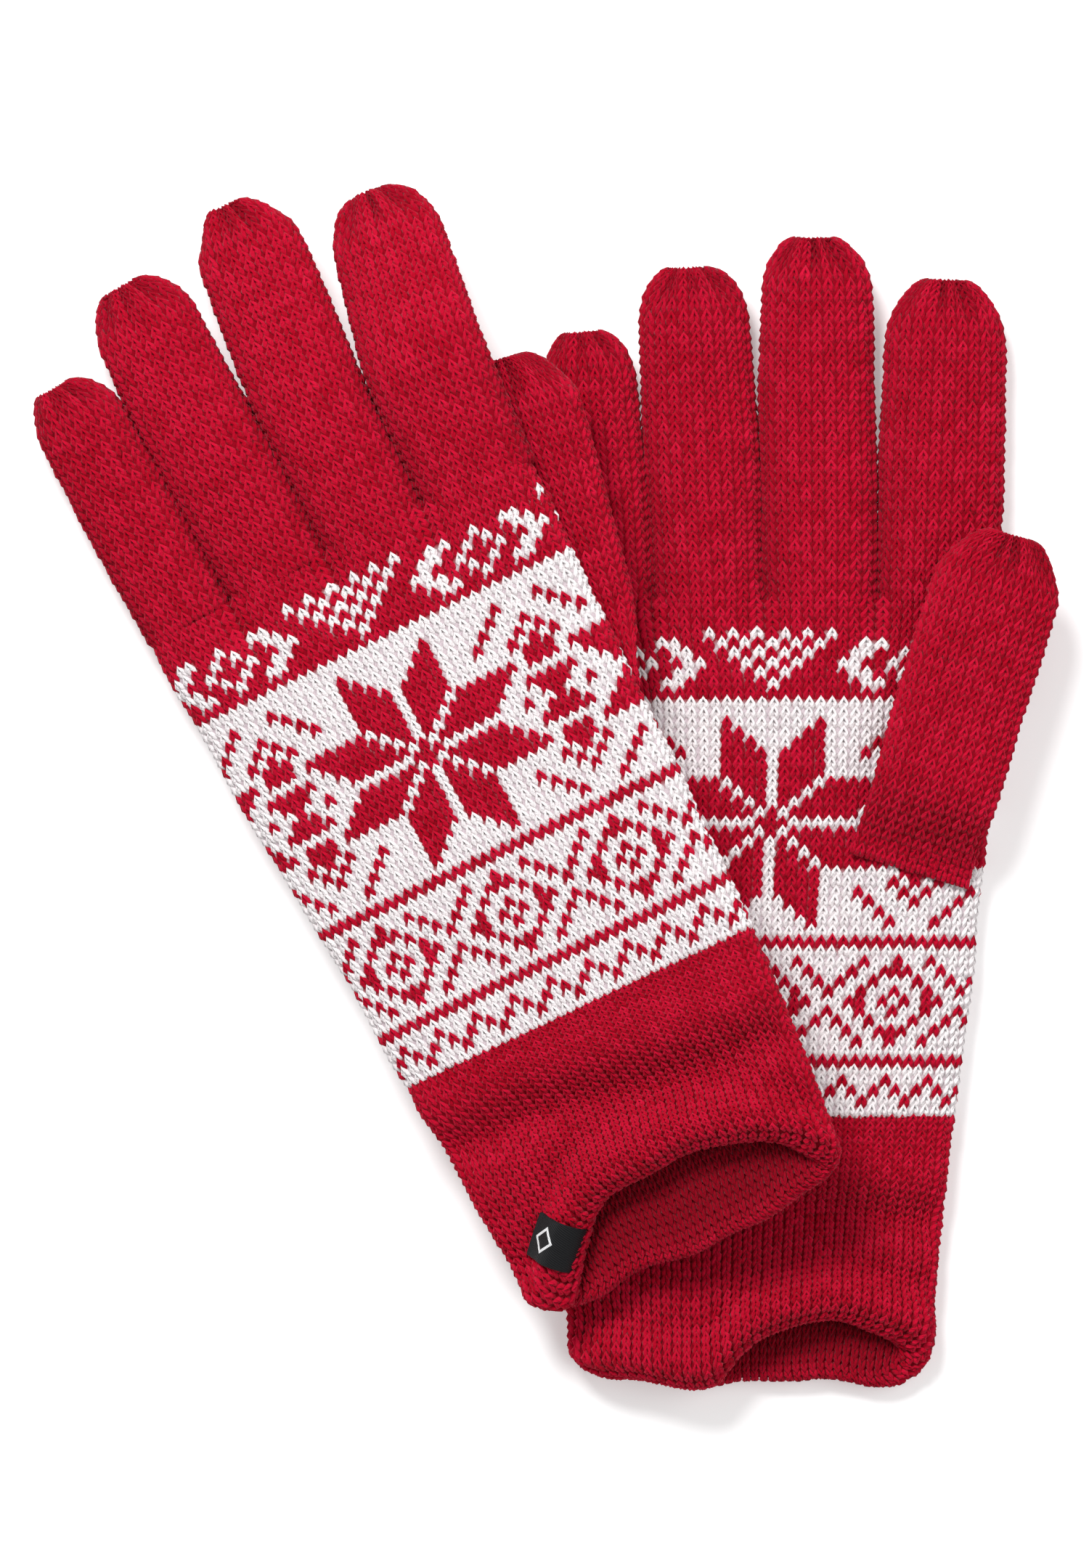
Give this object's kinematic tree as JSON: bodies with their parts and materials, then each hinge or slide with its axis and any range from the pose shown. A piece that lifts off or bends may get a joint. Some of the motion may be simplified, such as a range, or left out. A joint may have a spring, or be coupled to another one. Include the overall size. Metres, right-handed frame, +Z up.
{
  "type": "knitted gloves",
  "caption": "Pair of knitted gloves laid one across the other, with a two-colour star pattern on the hand, ribbed cuffs with rolled hems, hollow thumbs and hollow, bending fingers.",
  "frame": {"origin": "on the ground, under the middle of the pair's bounding box", "axes": "+Z up, +Y towards the fingertips of the right glove, +X towards its thumb"},
  "size_m": [0.2218, 0.2584, 0.0417],
  "materials": {
    "plain_knit": "brushed stockinette knit",
    "patterned_knit": "two-colour stranded knit, crimson and white",
    "ribbed_knit": "ribbed knit with a rolled hem",
    "label_weave": "satin-woven label"
  },
  "bodies": {
    "right_glove": {"right_hand": "patterned_knit", "right_cuff": "ribbed_knit", "right_little_finger_lower": "plain_knit", "right_little_finger_upper": "plain_knit", "right_ring_finger_lower": "plain_knit", "right_middle_finger_lower": "plain_knit", "right_index_finger_lower": "plain_knit"},
    "left_glove": {"left_hand": "patterned_knit", "left_cuff": "ribbed_knit", "left_little_finger_lower": "plain_knit", "left_ring_finger_lower": "plain_knit", "left_middle_finger_lower": "plain_knit", "left_index_finger_lower": "plain_knit", "left_label": "label_weave"},
    "right_ring_finger_tip": {"right_ring_finger_upper": "plain_knit"},
    "right_middle_finger_tip": {"right_middle_finger_upper": "plain_knit"},
    "right_index_finger_tip": {"right_index_finger_upper": "plain_knit"},
    "right_thumb": {"right_thumb": "plain_knit"},
    "left_little_finger_tip": {"left_little_finger_upper": "plain_knit"},
    "left_ring_finger_tip": {"left_ring_finger_upper": "plain_knit"},
    "left_middle_finger_tip": {"left_middle_finger_upper": "plain_knit"},
    "left_index_finger_tip": {"left_index_finger_upper": "plain_knit"},
    "left_thumb": {"left_thumb": "plain_knit"}
  },
  "joints": [
    {"name": "left_glove_lift", "type": "slide", "parent": "right_glove", "child": "left_glove", "axis": [0, 0, 1], "range_m": [0, 0.08]},
    {"name": "right_ring_bend", "type": "hinge", "parent": "right_glove", "child": "right_ring_finger_tip", "pos_m": [0.03333, 0.07079, 0.0127], "axis": [0.999, 0.0454, 0], "range_deg": [0, 100]},
    {"name": "right_middle_bend", "type": "hinge", "parent": "right_glove", "child": "right_middle_finger_tip", "pos_m": [0.05866, 0.07282, 0.0127], "axis": [0.9999, 0.0105, 0], "range_deg": [0, 100]},
    {"name": "right_index_bend", "type": "hinge", "parent": "right_glove", "child": "right_index_finger_tip", "pos_m": [0.08534, 0.0708, 0.0127], "axis": [0.9994, -0.0349, 0], "range_deg": [0, 100]},
    {"name": "right_thumb_swing", "type": "hinge", "parent": "right_glove", "child": "right_thumb", "pos_m": [0.08245, -0.00455, 0.0185], "axis": [0, 0, -1], "range_deg": [0, 35]},
    {"name": "left_little_bend", "type": "hinge", "parent": "left_glove", "child": "left_little_finger_tip", "pos_m": [-0.09171, 0.05829, 0.01443], "axis": [0.8376, 0.4732, 0.2728], "range_deg": [0, 100]},
    {"name": "left_ring_bend", "type": "hinge", "parent": "left_glove", "child": "left_ring_finger_tip", "pos_m": [-0.07432, 0.07151, 0.02041], "axis": [0.8376, 0.4732, 0.2728], "range_deg": [0, 100]},
    {"name": "left_middle_bend", "type": "hinge", "parent": "left_glove", "child": "left_middle_finger_tip", "pos_m": [-0.05325, 0.08435, 0.02736], "axis": [0.857, 0.4361, 0.2747], "range_deg": [0, 100]},
    {"name": "left_index_bend", "type": "hinge", "parent": "left_glove", "child": "left_index_finger_tip", "pos_m": [-0.02949, 0.09425, 0.03477], "axis": [0.8762, 0.395, 0.2761], "range_deg": [0, 100]},
    {"name": "left_thumb_swing", "type": "hinge", "parent": "left_glove", "child": "left_thumb", "pos_m": [0.00671, 0.03335, 0.02007], "axis": [0.2626, 0.0891, -0.9608], "range_deg": [0, 35]}
  ]
}
